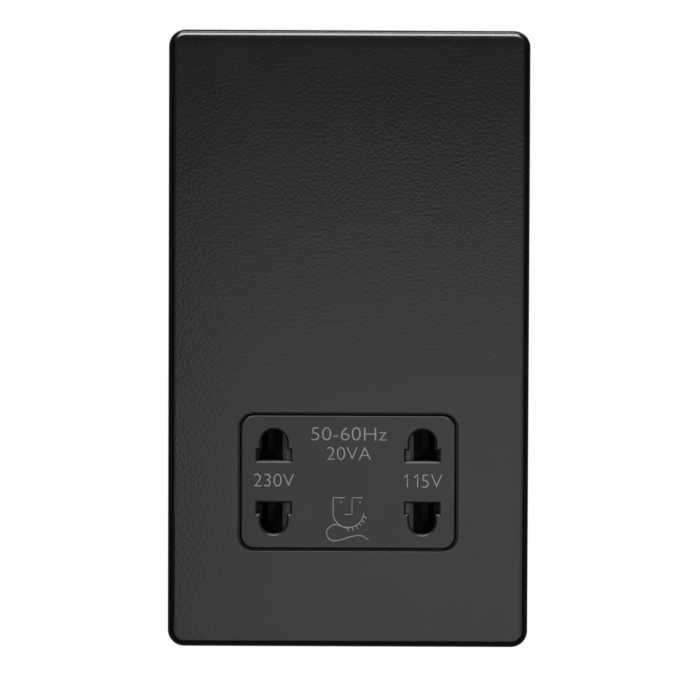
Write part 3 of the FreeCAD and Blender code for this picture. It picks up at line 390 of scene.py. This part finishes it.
def film(name):
    """Yellow polyester tape, a little wrinkled, with painted shade in its folds and painted highlight on
    its crests, and with the turns showing through.
    """
    material, tree, shader = new_finish(name)
    turns = stripes(tree, "Z", TURN_PITCH, distortion=0.3)
    wrinkles = noise(tree, 4, stretch=(1, 1, 0.5))
    # Darker in the folds and lighter on the crests of the wrinkles: painted shade and highlight
    fold, crest = (0.55, 0.33, 0.03), (0.72, 0.47, 0.06)
    grade(tree, shader, "Base Color", wrinkles, (0.3, fold), (0.7, crest))
    grade(tree, shader, "Roughness", wrinkles, (0.3, 0.20), (0.7, 0.32))
    bump(tree, shader, (wrinkles, 0.1, 0.5), (turns, 0.02, 0.3))
    return material


def jacket(name, colour):
    """Soft sleeve of a short wire inside the case."""
    material, tree, shader = new_finish(name)
    rub = noise(tree, 1.2)
    dark, light = shades(colour, 0.12)
    grade(tree, shader, "Base Color", rub, (0.3, dark), (0.7, light))
    grade(tree, shader, "Roughness", rub, (0.3, 0.36), (0.7, 0.48))
    bump(tree, shader, (rub, 0.01, 0.3))
    return material


def ink(name):
    """Warm grey print, slightly uneven."""
    material, tree, shader = new_finish(name)
    cover = noise(tree, 0.3, detail=2.0)
    thin, thick = (0.138, 0.138, 0.129), (0.17, 0.17, 0.159)
    grade(tree, shader, "Base Color", cover, (0.3, thin), (0.7, thick))
    grade(tree, shader, "Roughness", cover, (0.3, 0.55), (0.7, 0.7))
    shader.inputs["Specular IOR Level"].default_value = 0.2
    bump(tree, shader, (cover, 0.005, 0.3))
    return material


finishes = {
    "black_plate": powder_coat("black_plate_finish"),
    "black_insert": insert_moulding("black_insert_finish"),
    "grey_slider": slider_moulding("grey_slider_finish"),
    "frame_moulding": moulding(
        "frame_moulding_finish", (0.010, 0.010, 0.010), 0.5, specular=0.05, grain=0.35, flow=14.0,
    ),
    "block_moulding": moulding("block_moulding_finish", (0.002, 0.002, 0.002), 0.5, specular=0.05),
    "case_moulding": moulding(
        "case_moulding_finish", (0.09, 0.092, 0.096), 0.6, specular=0.12, grain=0.4, flow=18.0,
    ),
    # The bronze is coloured nearly black, painted shade for the contacts deep in the openings
    "bronze": metal("bronze_painted_shade_finish", (0.010, 0.0070, 0.0048), 0.48),
    "brass": metal("brass_finish", (0.80, 0.58, 0.27), 0.28, scratch_axis=(1, 1, 5)),
    "zinc_steel": metal("zinc_steel_finish", (0.62, 0.63, 0.62), 0.30, scratch_axis=(4, 1, 1)),
    "spring_steel": metal("spring_steel_finish", (0.55, 0.55, 0.56), 0.24, scratch=0.1),
    "core_steel": laminations("core_steel_finish"),
    "bobbin_nylon": moulding("bobbin_nylon_finish", (0.62, 0.60, 0.54), 0.42, grain=0.25),
    "copper": windings("copper_finish"),
    "tape": film("tape_finish"),
    "cutout_case": moulding("cutout_case_finish", (0.03, 0.031, 0.034), 0.38),
    "brown_wire": jacket("brown_wire_finish", (0.16, 0.055, 0.022)),
    "blue_wire": jacket("blue_wire_finish", (0.02, 0.11, 0.42)),
    "red_wire": jacket("red_wire_finish", (0.45, 0.022, 0.018)),
    "white_wire": jacket("white_wire_finish", (0.68, 0.67, 0.63)),
    "black_wire": jacket("black_wire_finish", (0.02, 0.02, 0.021)),
}
print_finish = ink("print_finish")

for subpart in frame["record"]["subparts"]:
    for slot in frame["nodes"][subpart["node"]].material_slots:
        slot.material = finishes[subpart["material_slot"]]


# Objects and curves

def add_object(name, data):
    """A new object in the scene."""
    piece = bpy.data.objects.new(name, data)
    bpy.context.collection.objects.link(piece)
    return piece


def round_line(name, radius, resolution=12):
    """A curve with a round section and closed ends, still without spots."""
    curve = bpy.data.curves.new(name, "CURVE")
    curve.dimensions = "3D"
    curve.bevel_depth = radius
    curve.bevel_resolution = 3
    curve.resolution_u = resolution
    curve.use_fill_caps = True
    return curve


def to_mesh(piece, name, finish):
    """Replaces a curve or text object by a mesh object in the same place."""
    bpy.context.view_layer.update()
    shape = bpy.data.meshes.new_from_object(piece.evaluated_get(bpy.context.evaluated_depsgraph_get()))
    shape.transform(piece.matrix_world)
    shape.materials.clear()
    shape.materials.append(finish)
    bpy.data.objects.remove(piece)
    return add_object(name, shape)


# Lettering and figure on the insert

def lettering(name, words, across, rise, width):
    """Printed words, centred at a place on the insert's face, as wide and high as given in millimetres."""
    curve = bpy.data.curves.new(name, "FONT")
    curve.body = words
    curve.align_x = "CENTER"
    curve.extrude = LETTER_EXTRUSION
    curve.offset = LETTER_THINNING
    curve.resolution_u = 6
    letters = to_mesh(add_object(f"{name}_text", curve), name, print_finish)
    shape = letters.data
    lows = [min(vertex.co[axis] for vertex in shape.vertices) for axis in range(3)]
    highs = [max(vertex.co[axis] for vertex in shape.vertices) for axis in range(3)]
    for vertex in shape.vertices:
        shares = [(vertex.co[axis] - lows[axis]) / (highs[axis] - lows[axis]) - 0.5 for axis in range(3)]
        vertex.co = Vector((
            (across + shares[0] * width) * MM,
            face_depth - shares[2] * INK_THICKNESS * MM,
            window_rise + (rise + shares[1] * LETTER_HEIGHT) * MM,
        ))
    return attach(letters, "unit")


def stroke(name, spots, smooth=False, width=STROKE_WIDTH):
    """One printed line through spots given in millimetres from the window's centre."""
    curve = round_line(name, width / 2 * MM, resolution=10)
    if smooth:
        line = curve.splines.new("BEZIER")
        line.bezier_points.add(len(spots) - 1)
        for point, (across, rise) in zip(line.bezier_points, spots):
            point.co = (across * MM, 0, rise * MM)
            point.handle_left_type = point.handle_right_type = "AUTO"
    else:
        line = curve.splines.new("POLY")
        line.points.add(len(spots) - 1)
        for point, (across, rise) in zip(line.points, spots):
            point.co = (across * MM, 0, rise * MM, 1)
    piece = add_object(f"{name}_line", curve)
    piece.scale.y = INK_THICKNESS / width
    piece.location = (0, face_depth, window_rise + FIGURE_RISE * MM)
    return to_mesh(piece, name, print_finish)


def shaver_figure():
    """The common outline figure for shavers: half a face with stubble and a shaver's lead."""
    brow, jaw, chin = -4.22, -7.92, 3.5
    left, right = -3.57, 3.75
    middle, reach = (left + right) / 2, (right - left) / 2

    def on_jaw(turn, out=0.0):
        angle = math.radians(turn)
        return middle + (reach + out) * math.cos(angle), jaw + (chin + out) * math.sin(angle)

    cheek = [(-0.82, brow), (left, brow), (left, jaw)]
    nose = [(right - 0.2, brow), (0.98, brow), (0.98, -8.23), (-0.78, -8.23)]
    lead = [
        (0.0, -11.7), (-2.2, -10.9), (-3.3, -10.72), (-4.4, -11.3), (-5.1, -12.5), (-4.8, -13.8),
        (-4.0, -14.5), (-2.8, -14.6), (0.9, -13.6), (2.75, -13.35), (3.8, -13.6), (4.9, -14.4),
    ]
    lines = [
        stroke("figure_face", cheek + [on_jaw(turn) for turn in range(186, 361, 6)]),
        stroke("figure_nose", nose),
        stroke("figure_lead", lead, smooth=True),
    ]
    for place_on_jaw, turn in enumerate(range(270, 355, 15), start=1):
        spots = [on_jaw(turn), on_jaw(turn, out=STUBBLE_LENGTH)]
        lines.append(stroke(f"figure_stubble_{place_on_jaw}", spots))
    for side, across in (("left", -1.65), ("right", 2.9)):
        lines.append(stroke(f"figure_eye_{side}", [(across, -5.15), (across, -5.5)], width=EYE_WIDTH))
    return lines


lettering("print_230v", "230V", -PIN_SPREAD, 0.4, 9.7)
lettering("print_115v", "5V", 20.2, 0.3, 5.0)
lettering("print_frequency", "50-60Hz", 0.2, 11.65, 18.2)
lettering("print_rating", "20VA", 0.2, 6.9, 10.6)
# The plain ones of the font are bare bars, so these have an arm
ones = []
for place_in_word, across in enumerate((14.3, 16.75), start=1):
    spots = [(across - 0.75, 0.75), (across, 1.4), (across, -1.65)]
    ones.append(stroke(f"print_115v_one_{place_in_word}", spots, width=DIGIT_WIDTH))
for line in ones + shaver_figure():
    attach(line, "unit")


# Springs

def coil_spring(name, node, side):
    """A smooth compression spring with closed ends, between the slider's catch and its pocket."""
    low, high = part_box(node)
    wire = SPRING_WIRE * MM
    radius = (high.z - low.z) / 2 - wire
    near_end, far_end = sorted((abs(low.x), abs(high.x)))
    near, far = near_end + wire, far_end - wire
    centre = Vector((0, (low.y + high.y) / 2, (low.z + high.z) / 2))
    turns = SPRING_TURNS + 2
    count = turns * SPRING_SAMPLES
    curve = round_line(name, wire)
    line = curve.splines.new("NURBS")
    line.points.add(count)
    for place_on_wire, point in enumerate(line.points):
        turn = place_on_wire / count * turns
        # The first and last turns lie close, the others are spread evenly
        if turn < 1:
            along = turn * SPRING_CLOSED
        elif turn > turns - 1:
            along = 1 - (turns - turn) * SPRING_CLOSED
        else:
            along = SPRING_CLOSED + (turn - 1) / (turns - 2) * (1 - 2 * SPRING_CLOSED)
        angle = turn * 2 * math.pi
        point.co = (
            side * (near + (far - near) * along), centre.y + radius * math.cos(angle),
            centre.z + radius * math.sin(angle), 1,
        )
    line.order_u = 4
    line.use_endpoint_u = True
    spring = to_mesh(add_object(f"{name}_line", curve), name, finishes["spring_steel"])
    spring.data.shade_smooth()
    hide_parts(node)
    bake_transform(spring)
    return spring


coil_spring("spring_right", "centring_spring_right", 1)
coil_spring("spring_left", "centring_spring_left", -1)


# Floor, world, lamps and camera

def seen_or_mirrored(tree):
    """1 for rays from the camera, from a mirror or through glass, otherwise 0."""
    path = tree.nodes.new("ShaderNodeLightPath")
    mirrored = combine(tree, "MAXIMUM", path.outputs["Is Glossy Ray"], path.outputs["Is Transmission Ray"])
    return combine(tree, "MAXIMUM", path.outputs["Is Camera Ray"], mirrored)


def white_world():
    """A world that looks white and lights the object softly."""
    world = bpy.data.worlds.new("white_world")
    bpy.context.scene.world = world
    world.use_nodes = True
    tree = world.node_tree
    soft = tree.nodes["Background"]
    white = tree.nodes.new("ShaderNodeBackground")
    for background, strength in ((soft, SOFT_WORLD), (white, 1.0)):
        background.inputs["Color"].default_value = (1, 1, 1, 1)
        background.inputs["Strength"].default_value = strength
    mix = tree.nodes.new("ShaderNodeMixShader")
    tree.links.new(seen_or_mirrored(tree), mix.inputs[0])
    tree.links.new(soft.outputs[0], mix.inputs[1])
    tree.links.new(white.outputs[0], mix.inputs[2])
    tree.links.new(mix.outputs[0], tree.nodes["World Output"].inputs["Surface"])


def white_floor(level):
    """A pale floor that shows white and keeps a soft shadow."""
    half = FLOOR_REACH
    corners = [(-half, -half, level), (half, -half, level), (half, half, level), (-half, half, level)]
    shape = bpy.data.meshes.new("floor")
    shape.from_pydata(corners, [], [(0, 1, 2, 3)])
    floor = add_object("floor", shape)
    material, tree, shader = new_finish("floor_finish")
    shader.inputs["Base Color"].default_value = (FLOOR_GREY, FLOOR_GREY, FLOOR_GREY, 1)
    shader.inputs["Roughness"].default_value = 0.9
    shader.inputs["Specular IOR Level"].default_value = 0.0
    own_light = tree.nodes.new("ShaderNodeEmission")
    own_light.inputs["Strength"].default_value = FLOOR_GLOW
    share = tree.nodes.new("ShaderNodeMath")
    share.operation = "MULTIPLY"
    share.inputs[1].default_value = FLOOR_GLOW_SHARE
    tree.links.new(seen_or_mirrored(tree), share.inputs[0])
    mix = tree.nodes.new("ShaderNodeMixShader")
    tree.links.new(share.outputs[0], mix.inputs[0])
    tree.links.new(shader.outputs[0], mix.inputs[1])
    tree.links.new(own_light.outputs[0], mix.inputs[2])
    tree.links.new(mix.outputs[0], tree.nodes["Material Output"].inputs["Surface"])
    shape.materials.append(material)


def lamp(name, spot, target, width, height, brightness, only_mirrored=False):
    """A soft lamp that points at a target. Its brightness counts in steps of the white background's."""
    light = bpy.data.lights.new(name, "AREA")
    light.shape = "RECTANGLE"
    light.size = width
    light.size_y = height
    light.energy = brightness * math.pi * width * height
    holder = add_object(name, light)
    holder.location = spot
    holder.rotation_euler = (Vector(target) - Vector(spot)).to_track_quat("-Z", "Y").to_euler()
    holder.visible_camera = False
    holder.visible_diffuse = not only_mirrored


def photograph_camera():
    """The camera at the photograph's angle, aimed at the middle of the plate."""
    target = Vector((0, plate_low.y, (plate_low.z + plate_high.z) / 2))
    away = Vector((0, -math.cos(CAMERA_RISE), math.sin(CAMERA_RISE)))
    data = bpy.data.cameras.new("camera")
    data.sensor_width = SENSOR_WIDTH
    data.lens = CAMERA_LENS
    data.shift_x, data.shift_y = CAMERA_SHIFT
    data.clip_start = 0.01
    camera = add_object("camera", data)
    camera.location = target + away * CAMERA_DISTANCE
    aim = (-away).to_track_quat("-Z", "Y")
    camera.rotation_euler = (aim @ Quaternion((0, 0, 1), CAMERA_ROLL)).to_euler()
    bpy.context.scene.camera = camera


white_world()
white_floor(plate_low.z - FLOOR_DROP)
lamp("overhead_lamp", (-0.03, -0.468, 0.526), (0, 0, 0.074), 0.6, 0.373, 72.0, only_mirrored=True)
lamp("top_lamp", (0.0, -0.05, 0.60), (0, 0, 0), 0.5, 0.07, 45.0)
lamp("back_lamp", (0.25, 0.55, 0.30), (0, 0, 0), 0.5, 0.5, 3.0)
for place_in_row, (low, high, brightness) in enumerate(LOW_LAMP_STRIPS, start=1):
    rise = (low + high) / 2
    lamp(
        f"low_lamp_{place_in_row}", (LOW_LAMP_ACROSS, LOW_LAMP_DEPTH, rise), (LOW_LAMP_ACROSS, 0, rise),
        LOW_LAMP_WIDTH, high - low, brightness,
    )
photograph_camera()
bpy.context.scene.view_settings.view_transform = "Standard"
